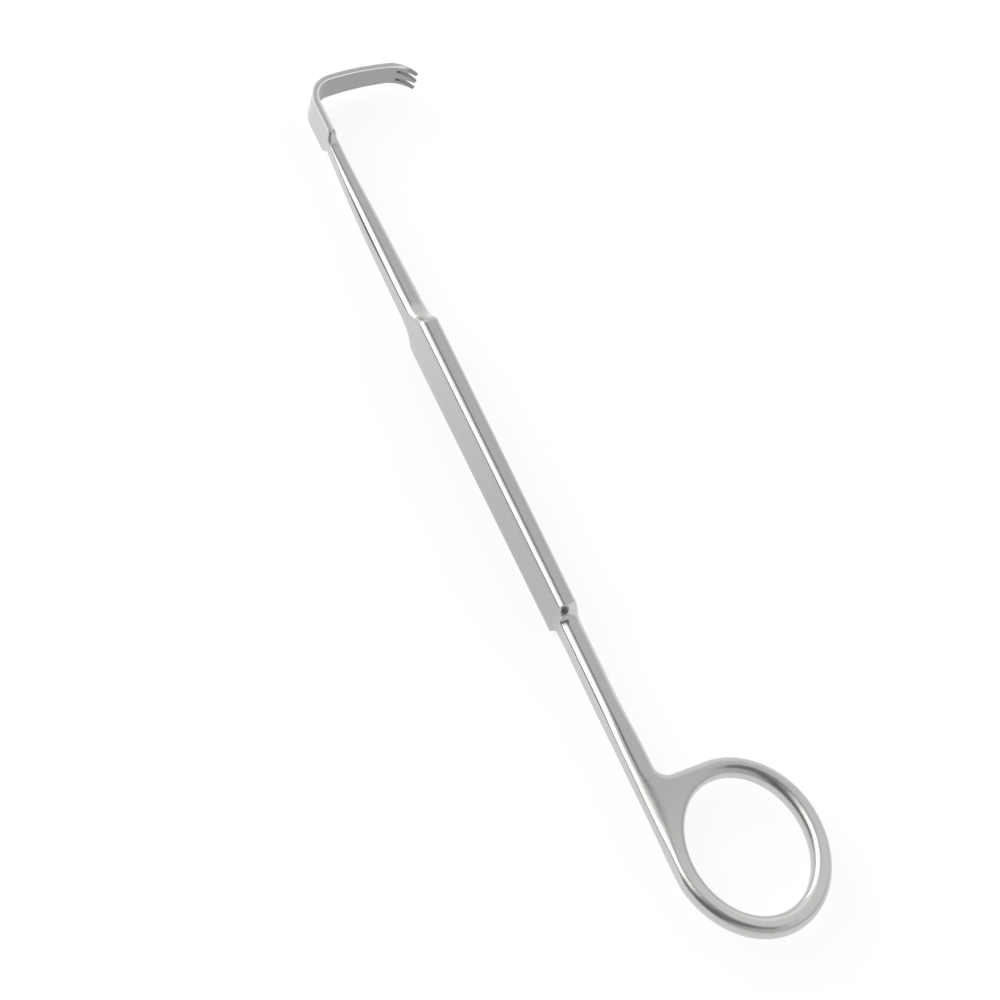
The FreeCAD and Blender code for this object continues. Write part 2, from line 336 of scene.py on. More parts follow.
# %% [markdown]
# ## Finger ring and web
#
# Seen from above, the ring is an egg-shaped oval. Its wall is a bar with rounded edges, and a
# flat web fills the corner between ring and shaft. A torus would be too regular, so the rim
# runs once round the outline of web and ring, and once round the hole. The level area between
# the two is filled with triangles, which is safe because it is flat.

# %% Sizes of ring and web
hub = Vector((78.9, 12.93))
ring_long = 17.05
ring_long_web = 16.4
ring_short = 13.9
ring_turn = math.radians(3.0)
hole_middle = hub + Vector((0.15, 0.19))
hole_long = 13.15
hole_short = 10.38
hole_turn = math.radians(0.5)
hole_corner = 1.6
hole_width = 1.6
ring_width = 1.42
web_fillet = 2.4
web_step = 0.5
ring_step = math.radians(1.3)
edge_step = 0.4
fillet_step = math.radians(4.0)
hole_step = math.radians(1.6)
print("ring is about", round(ring_long + ring_long_web, 1), "by", 2.0 * ring_short, "mm")

# %% Points on the ring's edge


def oval(middle, long, short, turn, angle):
    """A point of a turned ellipse, and the direction that points away from its middle."""
    along, across = long * math.cos(angle), short * math.sin(angle)
    out = Vector((math.cos(angle) / long, math.sin(angle) / short)).normalized()
    spin = Matrix.Rotation(turn, 2)
    return middle + spin @ Vector((along, across)), spin @ out


def ring_edge(angle):
    long = ring_long if math.cos(angle) > 0.0 else ring_long_web
    return oval(hub, long, ring_short, ring_turn, angle)


# The ring's lowest place in y, where the web's back runs into it, and its leftmost place in x
lowest = math.atan2(-ring_short * math.cos(ring_turn), -ring_long_web * math.sin(ring_turn))
leftmost = math.atan2(ring_short * math.sin(ring_turn), -ring_long_web * math.cos(ring_turn))
web_x = ring_edge(leftmost)[0].x
ring_back = ring_edge(lowest)[0].y
web_half, _, web_front, web_corner, web_width = web_lead
cut_x = web_x - web_fillet
print("web edge at x =", round(web_x, 2), "and ring back at y =", round(ring_back, 2))

# %% Outline of web and ring, as places with an inward direction


def outline():
    """Along the web's back, round the ring and down to the shaft again."""
    straight = places(cut_x, ring_edge(lowest)[0].x, web_step)
    stations = [(Vector((x, ring_back)), Vector((0.0, 1.0))) for x in straight]
    last = leftmost + (full_turn if leftmost < lowest else 0.0)
    for angle in places(lowest, last, ring_step):
        place, out = ring_edge(angle)
        stations.append((place, -out))
    middle = Vector((cut_x, web_front + web_fillet))
    high = ring_edge(leftmost)[0].y
    for y in places(high, middle.y, edge_step):
        stations.append((Vector((web_x, y)), Vector((1.0, 0.0))))
    for angle in places(0.0, -quarter, fillet_step) + [-quarter]:
        inward = Vector((math.cos(angle), math.sin(angle)))
        stations.append((middle + web_fillet * inward, inward))
    return stations


stations = outline()
print("outline of web and ring has", len(stations), "places")

# %% A flat plate between its rims


def plate(net, rims, hole_rims, cut_row):
    """A flat plate: its rims, the level area between them, and the mirror image below.
    A triangle whose corners all lie on the hole's rim is inside the hole, so it is left out."""
    net.rows(rims)
    loop = [row[-1] for row in rims] + cut_row
    loops = [loop]
    if hole_rims:
        net.rows(hole_rims + hole_rims[:1])
        loops.append([row[-1] for row in hole_rims])
    flat = [point for one in loops for point in one]
    edges = []
    for one in loops:
        first = len(edges)
        edges += [(first + i, first + (i + 1) % len(one)) for i in range(len(one))]
    found = delaunay_2d_cdt([Vector(p[:2]) for p in flat], edges, [], 2, 1e-6)
    origin = [ids[0] if ids else None for ids in found[3]]
    lost = sum(1 for ids in origin if ids is None)
    print("level area:", len(found[2]), "triangles,", lost, "new points")
    for triangle in found[2]:
        ids = [origin[i] for i in triangle]
        if min(ids) < len(loop):
            net.both([flat[i] for i in ids])


def rim_row(place, inward, points, extra, top):
    """A rim set upright at one place, and one more point on the level area."""
    row = [(place.x + inward.x * d, place.y + inward.y * d, up) for d, up in points]
    reach = points[-1][0] + extra
    return row + [(place.x + inward.x * reach, place.y + inward.y * reach, top)]


# %% [markdown]
# ## Putting the handle together
#
# On the real piece one pair of dies presses bar, shafts and ring at the same time. Here the
# sections of bar and shafts are joined first, and then the rims of web and ring. Both share the
# points at the cut between shaft and web, so the mesh has no seam there. A Boolean could join
# them too, but it leaves a crease that has to be smoothed away.

# %% Sections of the shafts and the bar
handle = Net()

# The end of each stretch, and the distance between its sections
stretches = ((-70.3, 0.3), (front_shoulder[0], 0.6), (-28.4, 0.12), (28.1, 0.8), (32.3, 0.08), (cut_x, 0.5))
xs = [stem_start]
for end, step in stretches:
    xs = xs[:-1] + places(xs[-1], end, step) + [end]
handle_rows = [section(x, handle_track.at(x), ground_flat(x)) for x in xs[:-1]]
web_section = (web_half, ring_back, web_front, web_corner, web_width)
handle_rows.append(section(cut_x, web_section, ground_flat(cut_x)))
handle.rows(handle_rows)
handle.cap(handle_rows[0])
print("the handle has", len(handle_rows), "sections")

# %% Rims of web and ring
web_end = 78.0
fillet_places = 18
even_places = 60
web_front_width = front_width(web_width)

# Along the web the back edge is rounded wide, and towards the ring it gets finer.
web_round = Track([
    (cut_x, (web_width,)), (66.0, (3.8,)), (70.0, (3.2,)), (74.5, (1.9,)), (web_end, (ring_width,)),
])

ring_rims = []
count = 0
for number, (place, inward) in enumerate(stations):
    cut = 0.0
    if inward.y > 0.5:
        cut = max(0.0, (ground_flat(place.x) - place.y) / inward.y)
    count += 0 if cut > 0.0 else 1
    near = max(0.0, 1.0 - (len(stations) - 1 - number) / fillet_places)
    width = ring_width + (web_front_width - ring_width) * near
    if place.x < web_end and place.y < 0.0:
        width = web_round.at(place.x)[0]
    points = rim(web_half - web_corner, web_corner, width, cut, min(1.0, count / even_places))
    ring_rims.append(rim_row(place, inward, points, support, web_half))

hole_rims = []
for angle in places(0.0, full_turn, hole_step):
    place, out = oval(hole_middle, hole_long, hole_short, hole_turn, angle)
    points = rim(web_half - hole_corner, hole_corner, hole_width, 0.0, 1.0)
    hole_rims.append(rim_row(place, out, points, support, web_half))
print(len(ring_rims), "rims outside and", len(hole_rims), "rims in the hole")

# %% Build the handle
cut_row = side_points(ring_back + web_width, web_front - web_front_width, cut_x, web_half)[1:-1]
plate(handle, ring_rims, hole_rims, list(reversed(cut_row)))
handle_mesh = handle.mesh("handle")

# %% [markdown]
# ## Blade
#
# The blade starts as a flat strip: its neck is wide, two ramps lead down to the shaft, and
# two V-shaped slots leave three prongs. The toolmaker cuts this blank flat and bends it
# afterwards. It is made in the same order here, because a slot is easy to draw on a flat strip
# and hard to draw on a bent one. The blank has its length along x, its width along y and
# its thickness along z.

# %% Sizes of the blank and of the path that it is bent to
neck_outer = 1.18
neck_end = -68.4
bend_x = -76.6
bend_radius = 5.0
blade_radius = 53.0
blade_reach = 16.95
tip_radius = 7.0
tip_turn = math.radians(53.5)

wall_x = bend_x - bend_radius
bend_y = neck_outer + bend_radius

neck_thickness = 1.27
neck_half = 3.8
bend_half = 3.38
ramp_end = 2.4
ramp_shear = 0.12
shear_length = 6.0

lean = math.asin((blade_reach - neck_outer - bend_radius) / blade_radius)
neck_length = neck_end - bend_x
bend_length = quarter * bend_radius
sweep_length = lean * blade_radius
tip_length = tip_turn * tip_radius
tip_start = neck_length + bend_length + sweep_length
blank_length = tip_start + tip_length
print("blank length", round(blank_length, 2), "mm, tip starts at", round(tip_start, 2))

# Half thickness and half width at some places along the blank
blank_track = Track([
    (0.0, (0.5 * neck_thickness, 1.05)),
    (0.7, (0.5 * neck_thickness, 1.45)),
    (ramp_end, (0.5 * neck_thickness, neck_half)),
    (4.0, (0.5 * neck_thickness, neck_half)),
    (neck_length, (0.5 * neck_thickness, neck_half)),
    (neck_length + bend_length, (0.5, bend_half)),
    (tip_start - 1.0, (0.5, 2.96)),
    (tip_start + 1.2, (0.47, 2.9)),
    (blank_length - 0.6, (0.33, 2.57)),
    (blank_length, (0.27, 2.5)),
])

# %% Corners with arcs in a chain of straight lines
arc_step = math.radians(9.0)


def rounded(corners, step):
    """Places along a chain of (point, radius) corners, each with a direction to its left."""
    stations = []
    for i in range(1, len(corners) - 1):
        (before, _), (here, radius), (after, _) = corners[i - 1 : i + 2]
        to_back = (before - here).normalized()
        to_next = (after - here).normalized()
        half = 0.5 * to_back.angle(to_next)
        reach = radius / math.tan(half)
        start, end = here + to_back * reach, here + to_next * reach
        middle = here + (to_back + to_next).normalized() * (radius / math.sin(half))
        first = start - middle
        sweep = first.angle_signed(end - middle)
        origin = corners[0][0] if i == 1 else stations[-1][0]
        left = Vector((to_back.y, -to_back.x))
        span = (start - origin).length
        steps = max(1, round(span / step))
        for k in range(0 if i == 1 else 1, steps):
            stations.append((origin + (start - origin) * (k / steps), left))
        arc_steps = max(4, round(abs(sweep) / arc_step))
        for k in range(arc_steps + 1):
            arm = Matrix.Rotation(-sweep * k / arc_steps, 2) @ first
            side = arm.normalized() * (-1.0 if sweep < 0.0 else 1.0)
            stations.append((middle + arm, side))
    origin, left = stations[-1]
    end = corners[-1][0]
    steps = max(1, round((end - origin).length / step))
    for k in range(1, steps + 1):
        stations.append((origin + (end - origin) * (k / steps), left))
    return stations


square_corner = [(Vector((0.0, 0.0)), 0.0), (Vector((1.0, 0.0)), 0.2), (Vector((1.0, 1.0)), 0.0)]
print("a square corner has", len(rounded(square_corner, 0.5)), "places")

# %% Outline of the three prongs
prong_part = 5.3
prong_start = blank_length - prong_part
prong_step = 0.16
outer_setback = 0.08
slot_apex = 5.4
root_pitch = 1.38
mouth_pitch = 1.25
slot_mouth = 0.95
slot_round = 0.3
tip_round = 0.13

start_half = blank_track.at(prong_start)[1]
end_half = blank_track.at(blank_length)[1]
outer_x = blank_length - outer_setback
corners = [(Vector((prong_start, -start_half)), 0.0), (Vector((outer_x, -end_half)), tip_round)]
for side in (-1.0, 1.0):
    corners.append((Vector((blank_length, side * mouth_pitch - slot_mouth)), tip_round))
    corners.append((Vector((blank_length - slot_apex, side * root_pitch)), slot_round))
    corners.append((Vector((blank_length, side * mouth_pitch + slot_mouth)), tip_round))
corners += [(Vector((outer_x, end_half)), tip_round), (Vector((prong_start, start_half)), 0.0)]
prong_stations = rounded(corners, prong_step)
prong_stations[0] = (prong_stations[0][0], Vector((0.0, 1.0)))
prong_stations[-1] = (prong_stations[-1][0], Vector((0.0, -1.0)))
print("prong outline has", len(prong_stations), "places")

# %% Strip of the flat blank
blank = Net()
strip_steps = (1, 1, 4)
blade_ease = 0.11
finer_by = 0.05
finer_length = 3.0


def strip_ease(s):
    """The rounding of the strip's edges, which gets finer along the tip."""
    return blade_ease - finer_by * min(1.0, max(0.0, s - tip_start) / finer_length)


blank_rows = []
runs = places(0.0, neck_length, 0.35) + places(neck_length, tip_start, 0.3)
runs += places(tip_start, prong_start, 0.2) + [prong_start]
for s in runs:
    half, width = blank_track.at(s)
    ease = strip_ease(s)
    blank_rows.append(section(s, (half, -width, width, ease, ease), no_flat, strip_steps))
blank.rows(blank_rows)
blank.cap(blank_rows[0])
print("the strip has", len(blank_rows), "sections")

# %% Prongs of the flat blank
prong_rims = []
for place, inward in prong_stations:
    half = blank_track.at(place.x)[0]
    ease = strip_ease(place.x)
    points = rim(half - ease, ease, ease, 0.0, 1.0, strip_steps)
    extra = support * (1.0 - 0.5 * min(1.0, place.x - prong_start))
    prong_rims.append(rim_row(place, inward, points, extra, half))
half, width = blank_track.at(prong_start)
ease = strip_ease(prong_start)
cut_row = side_points(ease - width, width - ease, prong_start, half)[1:-1]
plate(blank, prong_rims, [], list(reversed(cut_row)))
blank_mesh = blank.mesh("blank")

# %% Lay the outer face on z = 0 and set the ramps a little askew
# The two ramps were ground by eye, so they don't start at quite the same place.
for vertex in blank_mesh.vertices:
    vertex.co.z += blank_track.at(vertex.co.x)[0]
    fade = min(1.0, max(0.0, (vertex.co.x - ramp_end) / shear_length))
    vertex.co.x -= ramp_shear * vertex.co.y * (1.0 - fade * fade * (3.0 - 2.0 * fade))
print("the blank starts at x =", round(min(vertex.co.x for vertex in blank_mesh.vertices), 2))

# %% [markdown]
# ## Shader and geometry maths
#
# Both the bend and the steel finish are made of nodes. One small class wraps a socket, so that
# an expression such as 1 - mask adds its Math nodes, and one method makes any other node.

# %% A wire with operators


def plug(tree, socket, value):
    if isinstance(value, Wire):
        tree.links.new(value.socket, socket)
    elif value is not None:
        socket.default_value = value


class Wire:
    """A number that flows through a node tree."""

    def __init__(self, tree, socket):
        self.tree = tree
        self.socket = socket

    def maths(self, operation, *values):
        node = self.tree.nodes.new("ShaderNodeMath")
        node.operation = operation
        for slot, value in zip(node.inputs, values):
            plug(self.tree, slot, value)
        return Wire(self.tree, node.outputs[0])

    def __add__(self, other):
        return self.maths("ADD", self, other)

    def __radd__(self, other):
        return self.maths("ADD", other, self)

    def __sub__(self, other):
        return self.maths("SUBTRACT", self, other)

    def __rsub__(self, other):
        return self.maths("SUBTRACT", other, self)

    def __mul__(self, other):
        return self.maths("MULTIPLY", self, other)

    def __rmul__(self, other):
        return self.maths("MULTIPLY", other, self)

    def __truediv__(self, other):
        return self.maths("DIVIDE", self, other)

    def __pow__(self, other):
        return self.maths("POWER", self, other)

    def at_least(self, other):
        return self.maths("MAXIMUM", self, other)

    def at_most(self, other):
        return self.maths("MINIMUM", self, other)

    def ramp(self, low, high):
        """0 below low, 1 above high, and a smooth rise between them."""
        return nodes(self.tree, "ShaderNodeMapRange", {"interpolation_type": "SMOOTHSTEP"}, {
            "Value": self, "From Min": low, "From Max": high, "To Min": 0.0, "To Max": 1.0,
        })["Result"]


# %% One method for any other node


def nodes(tree, kind, settings=None, values=None):
    """Makes one node: settings first, then its sockets. Returns its outputs by name."""
    node = tree.nodes.new(kind)
    for name, value in (settings or {}).items():
        setattr(node, name, value)
    for name, value in (values or {}).items():
        plug(tree, node.inputs[name], value)
    return {out.name: Wire(tree, out) for out in node.outputs if out.enabled}


# %% [markdown]
# ## Bending the blank
#
# A bend follows a rule: the outer face of the strip lies on the path, and its thickness points
# to the inside. Simple Deform bends only to one radius, so a Geometry Nodes tree does it. It
# reads how far along the blank a point is, looks up that place on the path, and puts the
# point beside it.

# %% The path that the outer face follows


def path_point(s):
    """A place on the outer face: along the neck, round the bend, along the sweep and the tip."""
    if s <= neck_length:
        return Vector((neck_end - s, neck_outer, 0.0))
    s -= neck_length
    if s <= bend_length:
        angle = s / bend_radius
        x = bend_x - bend_radius * math.sin(angle)
        return Vector((x, bend_y - bend_radius * math.cos(angle), 0.0))
    s -= bend_length
    angle = min(s / blade_radius, lean)
    place = Vector((wall_x + blade_radius * (1.0 - math.cos(angle)), 0.0, 0.0))
    place.y = bend_y + blade_radius * math.sin(angle)
    s -= sweep_length
    if s > 0.0:
        turn = lean + s / tip_radius
        place.x += tip_radius * (math.cos(lean) - math.cos(turn))
        place.y += tip_radius * (math.sin(turn) - math.sin(lean))
    return place


path_step = 0.1
path_points = [path_point(s) for s in places(0.0, blank_length, path_step) + [blank_length]]
path_curve = bpy.data.curves.new("blade_path", "CURVE")
path_curve.dimensions = "3D"
spline = path_curve.splines.new("POLY")
spline.points.add(len(path_points) - 1)
for spot, place in zip(spline.points, path_points):
    spot.co = (*place, 1.0)
path_object = bpy.data.objects.new("blade_path", path_curve)
bpy.context.scene.collection.objects.link(path_object)
print("blade tip at", [round(v, 2) for v in path_points[-1]])

# %% The bend as a Geometry Nodes tree
steel = bpy.data.materials.new("satin_steel")
bend_tree = bpy.data.node_groups.new("bend_along_path", "GeometryNodeTree")
sockets = bend_tree.interface
sockets.new_socket("Blank", in_out="INPUT", socket_type="NodeSocketGeometry")
path_input = sockets.new_socket("Path", in_out="INPUT", socket_type="NodeSocketObject")
offset_input = sockets.new_socket("Offset", in_out="INPUT", socket_type="NodeSocketFloat")
steel_input = sockets.new_socket("Steel", in_out="INPUT", socket_type="NodeSocketMaterial")
sockets.new_socket("Bent", in_out="OUTPUT", socket_type="NodeSocketGeometry")

given = nodes(bend_tree, "NodeGroupInput")
path_shape = nodes(bend_tree, "GeometryNodeObjectInfo", None, {"Object": given["Path"]})["Geometry"]
flat_place = nodes(bend_tree, "GeometryNodeInputPosition")["Position"]
flat_xyz = nodes(bend_tree, "ShaderNodeSeparateXYZ", None, {"Vector": flat_place})
on_path = nodes(bend_tree, "GeometryNodeSampleCurve", {"mode": "LENGTH"}, {
    "Curves": path_shape, "Length": flat_xyz["X"] + given["Offset"],
})
inside = nodes(bend_tree, "ShaderNodeVectorMath", {"operation": "CROSS_PRODUCT"}, {
    0: on_path["Tangent"], 1: (0.0, 0.0, 1.0),
})["Vector"]
depth = nodes(bend_tree, "ShaderNodeVectorMath", {"operation": "SCALE"}, {
    0: inside, "Scale": flat_xyz["Z"],
})["Vector"]
sideways = nodes(bend_tree, "ShaderNodeCombineXYZ", None, {"Z": flat_xyz["Y"]})["Vector"]
beside = nodes(bend_tree, "ShaderNodeVectorMath", {"operation": "ADD"}, {
    0: on_path["Position"], 1: depth,
})["Vector"]
moved = nodes(bend_tree, "ShaderNodeVectorMath", {"operation": "ADD"}, {0: beside, 1: sideways})["Vector"]
bent = nodes(bend_tree, "GeometryNodeSetPosition", None, {
    "Geometry": given["Blank"], "Position": moved,
})["Geometry"]
real = nodes(bend_tree, "GeometryNodeRealizeInstances", None, {"Geometry": bent})["Geometry"]
done = nodes(bend_tree, "GeometryNodeSetMaterial", None, {
    "Geometry": real, "Material": given["Steel"],
})["Geometry"]
nodes(bend_tree, "NodeGroupOutput", None, {"Bent": done})

blade = bpy.data.objects.new("blade", blank_mesh)
bpy.context.scene.collection.objects.link(blade)
bend = blade.modifiers.new("bend", "NODES")
bend.node_group = bend_tree
bend[path_input.identifier] = path_object
bend[offset_input.identifier] = 0.0
bend[steel_input.identifier] = steel
print("the bend has", len(bend_tree.nodes), "nodes")

# %% Bend the blank and keep the result as a plain mesh


def evaluated_mesh(thing):
    """The mesh that an object has once its modifiers have run."""
    graph = bpy.context.evaluated_depsgraph_get()
    return bpy.data.meshes.new_from_object(thing.evaluated_get(graph))


bent_mesh = evaluated_mesh(blade)
blade.modifiers.clear()
blade.data = bent_mesh
reach = [round(max(vertex.co[i] for vertex in bent_mesh.vertices), 2) for i in range(3)]
print("bent blade reaches", reach)

# %% [markdown]
# ## One piece of steel
#
# Handle and blade are still two closed shells that overlap at the neck. The real instrument is
# one forging, so a Boolean modifier melts them together. Its exact solver keeps the crease
# where the shaft's point runs out on the neck.

# %% Join handle and blade
whole = bpy.data.objects.new("retractor_steel", handle_mesh)
bpy.context.scene.collection.objects.link(whole)
join = whole.modifiers.new("join", "BOOLEAN")
join.operation = "UNION"
join.solver = "EXACT"
join.object = blade
whole_mesh = evaluated_mesh(whole)
whole.modifiers.clear()
whole.data = whole_mesh
for helper in (blade, path_object):
    bpy.data.objects.remove(helper)
print("joined mesh has", len(whole_mesh.polygons), "faces")

# %% Move the piece to its place in the frame
low, high = [Vector(corner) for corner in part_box("retractor")]
spots = [vertex.co for vertex in whole_mesh.vertices]
least = Vector([min(spot[i] for spot in spots) for i in range(3)])
most = Vector([max(spot[i] for spot in spots) for i in range(3)])
shift = 0.5 * (low + high) - 0.5 * MM * (least + most)
# A little shorter, so that no point lies outside the CAD box
length_share = 0.9999
fit = Matrix.Scale(MM, 4) @ Matrix.Scale(length_share, 4, (1.0, 0.0, 0.0))
whole_mesh.transform(Matrix.Translation(shift) @ fit)
print("size in mm", [round(v, 2) for v in most - least], "shift in mm", [round(v / MM, 3) for v in shift])

# %% Clean the joined mesh and keep its creases sharp
shortest_edge = 2e-7
crease = math.radians(32.0)

work = bmesh.new()
work.from_mesh(whole_mesh)
bmesh.ops.dissolve_degenerate(work, dist=shortest_edge, edges=work.edges)
bmesh.ops.triangulate(work, faces=[face for face in work.faces if len(face.verts) > 4])
loose = sum(1 for edge in work.edges if len(edge.link_faces) != 2)
work.to_mesh(whole_mesh)
work.free()
whole_mesh.shade_smooth()
whole_mesh.set_sharp_from_angle(angle=crease)
whole_mesh.materials.clear()
whole_mesh.materials.append(steel)
print("one piece:", len(whole_mesh.polygons), "faces,", loose, "open edges")

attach(whole, "root")
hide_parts("retractor")

# %% [markdown]
# ## Satin steel
#
# The steel is brushed along the shaft and round the ring. What shows is a soft sheen with fine
# lines, faint streaks in tone, and a slight waviness that a hand-held polishing wheel leaves.

# %% Coordinates of the finish
steel.use_nodes = True
tree = steel.node_tree
shader = tree.nodes["Principled BSDF"]
shader.inputs["Metallic"].default_value = 1.0
millimetres = nodes(tree, "ShaderNodeVectorMath", {"operation": "SCALE"}, {
    0: nodes(tree, "ShaderNodeTexCoord")["Object"], "Scale": 1.0 / MM,
})["Vector"]
xyz = nodes(tree, "ShaderNodeSeparateXYZ", None, {"Vector": millimetres})
hub_x = hub.x + shift.x / MM
hub_y = hub.y + shift.y / MM
from_hub_x = xyz["X"] - hub_x
from_hub_y = xyz["Y"] - hub_y
radius = (from_hub_x * from_hub_x + from_hub_y * from_hub_y) ** 0.5
angle = radius.maths("ARCTAN2", from_hub_y, from_hub_x)
ring_begins = hub_x - 22.0
ring_full = hub_x - 12.0
on_ring = xyz["X"].ramp(ring_begins, ring_full)
print("the brushing turns round the ring from x =", round(ring_begins, 2), "to", round(ring_full, 2))

# %% Brush lines, streaks and waves
ring_mean = 15.0


def noise(vector, scale, detail):
    values = {"Vector": vector, "Scale": scale, "Detail": detail}
    return nodes(tree, "ShaderNodeTexNoise", None, values)["Fac"]


def brushed(along, across, detail):
    """Noise drawn out along the shaft, or round the ring."""
    shaft = nodes(tree, "ShaderNodeCombineXYZ", None, {
        "X": xyz["X"] * along, "Y": xyz["Y"] * across, "Z": xyz["Z"] * across,
    })["Vector"]
    ring = nodes(tree, "ShaderNodeCombineXYZ", None, {
        "X": angle * (ring_mean * along), "Y": radius * across, "Z": xyz["Z"] * across,
    })["Vector"]
    on_shaft = noise(shaft, 1.0, detail)
    return on_shaft + (noise(ring, 1.0, detail) - on_shaft) * on_ring


lines = brushed(0.35, 12.0, 2.0)
streaks = brushed(0.07, 1.7, 3.0)
waves = noise(millimetres, 0.13, 2.0)
grain = noise(millimetres, 9.0, 2.0)
clouds = noise(millimetres, 0.06, 1.0)
print("brushing takes", len(tree.nodes), "nodes")

# %% [markdown]
# ## Where the finish differs
#
# A polishing wheel can't reach everywhere, so the blade is rougher away from its outer face,
# while the edges of the strip are smoother. The colour also holds painted light: painted shade
# on the inner face of the blade, in the notches and on the flat along the back, and painted
# highlights on the edges of the strip, on a spot of the front shoulder and on the top of web and
# ring. Masks made of places and distances on the piece say where that is: each is 1 in its place
# and fades to 0 round it. A painted picture would do it too, but it would need a flat layout of
# the whole surface.

# %% How deep a point lies in the bent strip
x, y, z = (xyz[axis] - shift[i] / MM for i, axis in enumerate("XYZ"))
up = (z * z) ** 0.5
seam = 0.05


def distance(px, py):
    """Distance in the xy plane from the axis through one point."""
    return ((x - px) ** 2 + (y - py) ** 2) ** 0.5


on_sweep = y.ramp(bend_y - seam, bend_y + seam)
on_neck = x.ramp(bend_x - seam, bend_x + seam) * (1.0 - y.ramp(4.0, 4.1))
turn_depth = bend_radius - distance(bend_x, bend_y)
sweep_depth = blade_radius - distance(wall_x + blade_radius, bend_y)
strip_depth = turn_depth + (sweep_depth - turn_depth) * on_sweep
strip_depth = strip_depth + (y - neck_outer - strip_depth) * on_neck
print("bend turns round", [round(bend_x, 2), round(bend_y, 2)])

# %% Inner face and edges of the strip
narrows_from = 6.2
narrowing = 0.039
strip_half = neck_half - y.ramp(2.4, 6.5) * (neck_half - bend_half)
strip_half = strip_half - (y - narrows_from).at_least(0.0) * narrowing
on_strip = 1.0 - x.ramp(stem_full - 0.1, stem_full + 0.1)
near_side = (up - strip_half).ramp(-0.2, -0.1)
# Painted shade on the inner face of the blade
inner_face_shade = strip_depth.ramp(0.86, 0.94) * (1.0 - near_side) * on_strip * y.ramp(2.0, 5.0)
# Painted highlight on the edges of the strip, which are also less rough
strip_edges = near_side * (strip_depth.ramp(0.8, 0.9) + 1.0 - strip_depth.ramp(0.1, 0.2)) * on_strip
print("masks of the strip bring it to", len(tree.nodes), "nodes")

# %% Notches darkened with painted shade
ramp_foot = -70.35
ramp_width = 1.9
step_x, step_y, step_up = 29.5, 1.1, 4.2
root_up_path = 1.6
root = path_points[round((blank_length - slot_apex + root_up_path) / path_step)]

ramp_run = (x - ramp_foot) / ramp_width
ramp_notch = ramp_run.ramp(0.0, 0.08) * (1.0 - (y - neck_outer + ramp_run * 0.6).ramp(0.3, 0.45))
ramp_notch = ramp_notch * z.ramp(1.3, 1.6) * (1.0 - ramp_run.ramp(0.9, 1.0))
ramp_face = ramp_run.ramp(0.05, 0.1) * (1.0 - ramp_run.ramp(0.95, 1.05)) * z.ramp(1.4, 1.7)
step_notch = (((x - step_x) * 0.7) ** 2 + (y - step_y) ** 2 + ((up - step_up) * 0.75) ** 2) ** 0.5
slot_notch = (distance(root.x + 0.5, root.y - 0.2) ** 2 + (up - root_pitch) ** 2) ** 0.5

# Painted shade in the notches at the ramps, at the rear shoulder and at the roots of the slots, and a
# little on the ramp faces
shade_in_notches = ramp_notch.at_least((1.0 - step_notch.ramp(0.5, 0.95)) * 0.9)
shade_in_notches = shade_in_notches.at_least(ramp_face * 0.15)
shade_in_notches = shade_in_notches.at_least((1.0 - slot_notch.ramp(0.35, 0.75)) * 0.8)
print("root of the slots at", [round(v, 2) for v in root])

# %% Worn shoulder with a painted highlight, painted highlight at the far end, painted shade on the flat
# A spot on the front shoulder is rougher, as worn steel, and gets a painted highlight; the top of web and
# ring towards the far end gets a painted highlight too
wear_and_highlight_x, wear_and_highlight_y, wear_and_highlight_up = -31.0, 1.3, 3.5
wear_and_highlight = (((x - wear_and_highlight_x) * 0.8) ** 2 + (y - wear_and_highlight_y) ** 2 + (up - wear_and_highlight_up) ** 2) ** 0.5
wear_and_highlight = 1.0 - wear_and_highlight.ramp(0.6, 1.4)
far_end_highlight = x.ramp(58.0, 88.0) * up.ramp(1.7, 1.96) * 0.6
shade = x.ramp(-40.0, 15.0) * (1.0 - x.ramp(28.0, 33.0)) * 0.38 + 0.08
back_flat = (1.0 - y.ramp(0.03, 0.1)) * (1.0 - x.ramp(62.0, 70.0)) * shade
print("all masks together:", len(tree.nodes), "nodes")

# %% Tone of the steel
lines_share = 0.35
clouds_share = 0.8
dark_streak = (0.49, 0.487, 0.465, 1.0)
light_streak = (0.645, 0.65, 0.655, 1.0)
# Painted highlight for the shoulder spot and the far end
painted_highlight = (0.86, 0.86, 0.85, 1.0)
# Painted shade for the inner face of the blade
painted_inner_shade = (0.29, 0.29, 0.28, 1.0)
# Painted highlight for the edges of the strip
painted_edge_highlight = (0.95, 0.95, 0.94, 1.0)
# Painted shade for the notches
painted_notch_shade = (0.09, 0.085, 0.08, 1.0)
shaded = (0.18, 0.18, 0.17, 1.0)


def toned(below, factor, above):
    """One tone laid over another. 6 and 7 are the colour sockets of a Mix node."""
    values = {"Factor": factor, 6: below, 7: above}
    return nodes(tree, "ShaderNodeMix", {"data_type": "RGBA"}, values)["Result"]


mottle = (streaks + lines * lines_share + clouds * clouds_share) / (1.0 + lines_share + clouds_share)
tone = toned(dark_streak, mottle, light_streak)
# Painted highlights on the shoulder spot and on the top of web and ring
tone = toned(tone, far_end_highlight.at_least(wear_and_highlight * 0.3), painted_highlight)
# Painted shade on the inner face of the blade
tone = toned(tone, inner_face_shade * 0.75, painted_inner_shade)
# Painted highlight on the edges of the strip
tone = toned(tone, strip_edges.at_most(1.0), painted_edge_highlight)
# Painted shade in the notches
tone = toned(tone, shade_in_notches * 0.9, painted_notch_shade)
tone = toned(tone, back_flat, shaded)
plug(tree, shader.inputs["Base Color"], tone)
print("with its tones the steel has", len(tree.nodes), "nodes")

